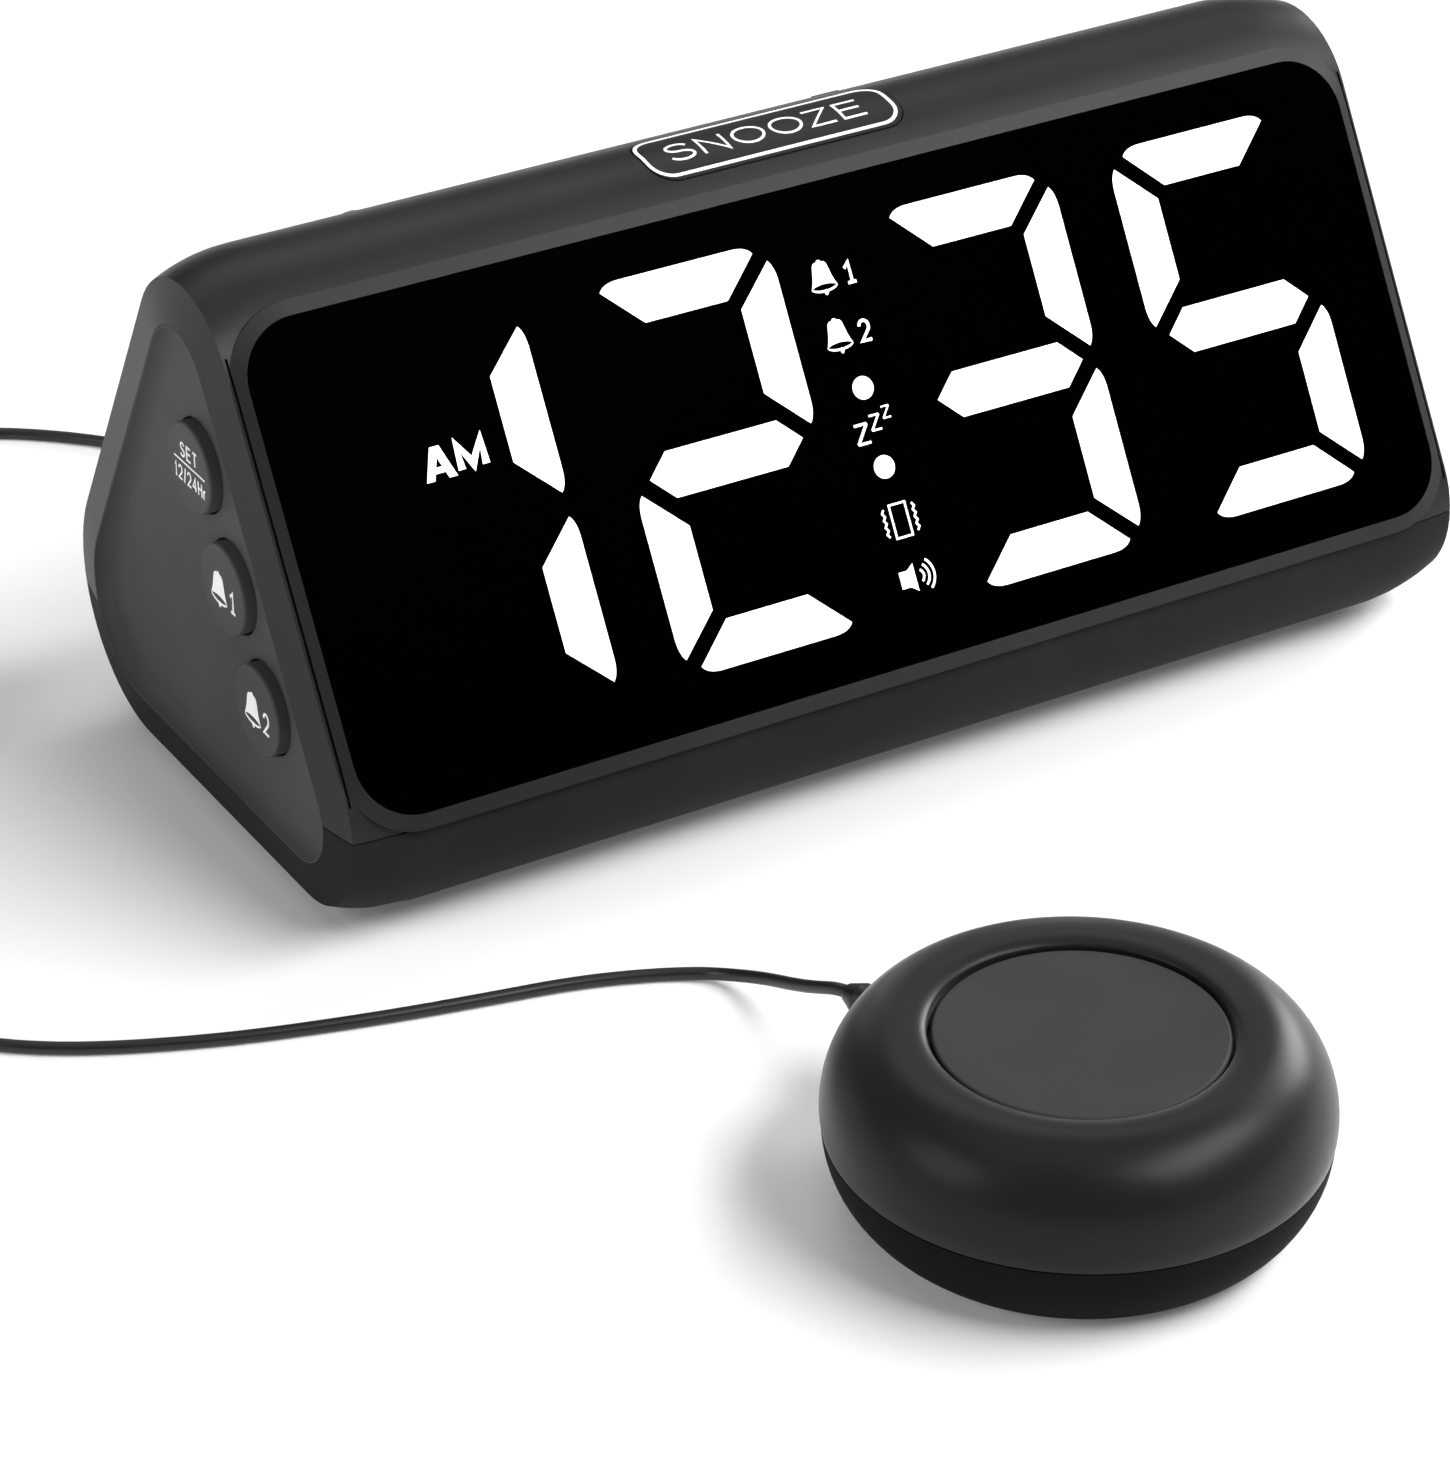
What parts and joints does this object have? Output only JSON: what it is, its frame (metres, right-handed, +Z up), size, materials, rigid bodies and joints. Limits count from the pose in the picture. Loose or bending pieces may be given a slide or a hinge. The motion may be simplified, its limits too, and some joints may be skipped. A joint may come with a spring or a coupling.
{
  "type": "bed shaker alarm clock",
  "caption": "Tilted triangular digital alarm clock with a large display, end buttons and snooze bar, and a round vibrating bed shaker on a thin lead.",
  "frame": {"origin": "on the table, under the middle of the clock's case", "axes": "+X along the case to its right end, +Y to its back, +Z up"},
  "size_m": [0.2478, 0.2965, 0.0846],
  "materials": {
    "case_plastic": "fine satin texture",
    "lens_black": "polished",
    "reflector_white": "matte",
    "diffuser_white": "frosted",
    "led": "clear",
    "circuit_board": "solder mask",
    "component_black": "moulded",
    "screw_steel": "zinc plated",
    "steel": "plain",
    "contact_brass": "plain",
    "magnet": "black",
    "cone": "paper",
    "foot_rubber": "matte",
    "lead_sheath": "smooth",
    "tie": "matte"
  },
  "bodies": {
    "clock": {"backup_cell": "steel", "base_cover": "case_plastic", "board_components": "component_black", "board_screws": "screw_steel", "case_screws": "screw_steel", "cell_contact": "contact_brass", "clamp_screws": "screw_steel", "coil_tie": "tie", "dc_jack": "component_black", "digit_diffusers": "diffuser_white", "display_board": "circuit_board", "display_leds": "led", "display_lens": "lens_black", "display_reflector": "reflector_white", "display_screws": "screw_steel", "feet": "foot_rubber", "lead_clock_side": "lead_sheath", "lead_coil": "lead_sheath", "lead_shaker_side": "lead_sheath", "left_end_panel": "case_plastic", "left_switch_board": "circuit_board", "left_tact_switches": "component_black", "main_board": "circuit_board", "motor_clamp": "steel", "motor_saddle": "component_black", "right_end_panel": "case_plastic", "right_switch_board": "circuit_board", "right_tact_switches": "component_black", "shaker_base": "case_plastic", "shaker_disc": "case_plastic", "shaker_foot_ring": "foot_rubber", "shaker_jack": "component_black", "shaker_motor": "steel", "shaker_plug": "lead_sheath", "shaker_screws": "screw_steel", "shaker_top_shell": "case_plastic", "slide_switch": "component_black", "snooze_board": "circuit_board", "snooze_switch": "component_black", "speaker_cone": "cone", "speaker_frame": "component_black", "speaker_magnet": "magnet", "strain_relief": "lead_sheath", "upper_shell": "case_plastic"},
    "snooze": {"snooze_button": "case_plastic"},
    "mode_knob": {"mode_slider": "case_plastic"},
    "cell_door": {"battery_door": "case_plastic"},
    "rotor": {"motor_shaft": "steel", "eccentric_weight": "steel"},
    "set_press_body": {"set_button": "case_plastic"},
    "alarm_one_press_body": {"alarm_one_button": "case_plastic"},
    "alarm_two_press_body": {"alarm_two_button": "case_plastic"},
    "up_press_body": {"up_button": "case_plastic"},
    "down_press_body": {"down_button": "case_plastic"},
    "dimmer_press_body": {"dimmer_button": "case_plastic"}
  },
  "joints": [
    {"name": "snooze_press", "type": "slide", "parent": "clock", "child": "snooze", "axis": [0, 0.1219, -0.9925], "range_m": [0, 0.001], "stiffness_N_per_m": 800, "springref_m": -0.001},
    {"name": "mode_slide", "type": "slide", "parent": "clock", "child": "mode_knob", "axis": [1, 0, 0], "range_m": [-0.0025, 0.0025]},
    {"name": "cell_door_slide", "type": "slide", "parent": "clock", "child": "cell_door", "axis": [0, 1, 0], "range_m": [0, 0.03]},
    {"name": "rotor_spin", "type": "hinge", "parent": "clock", "child": "rotor", "pos_m": [-0.0356, -0.137, 0.0124], "axis": [1, 0, 0], "continuous": true},
    {"name": "set_press", "type": "slide", "parent": "clock", "child": "set_press_body", "axis": [1, 0, 0], "range_m": [0, 0.0008], "stiffness_N_per_m": 1200, "springref_m": -0.0008},
    {"name": "alarm_one_press", "type": "slide", "parent": "clock", "child": "alarm_one_press_body", "axis": [1, 0, 0], "range_m": [0, 0.0008], "stiffness_N_per_m": 1200, "springref_m": -0.0008},
    {"name": "alarm_two_press", "type": "slide", "parent": "clock", "child": "alarm_two_press_body", "axis": [1, 0, 0], "range_m": [0, 0.0008], "stiffness_N_per_m": 1200, "springref_m": -0.0008},
    {"name": "up_press", "type": "slide", "parent": "clock", "child": "up_press_body", "axis": [-1, 0, 0], "range_m": [0, 0.0008], "stiffness_N_per_m": 1200, "springref_m": -0.0008},
    {"name": "down_press", "type": "slide", "parent": "clock", "child": "down_press_body", "axis": [-1, 0, 0], "range_m": [0, 0.0008], "stiffness_N_per_m": 1200, "springref_m": -0.0008},
    {"name": "dimmer_press", "type": "slide", "parent": "clock", "child": "dimmer_press_body", "axis": [-1, 0, 0], "range_m": [0, 0.0008], "stiffness_N_per_m": 1200, "springref_m": -0.0008}
  ]
}
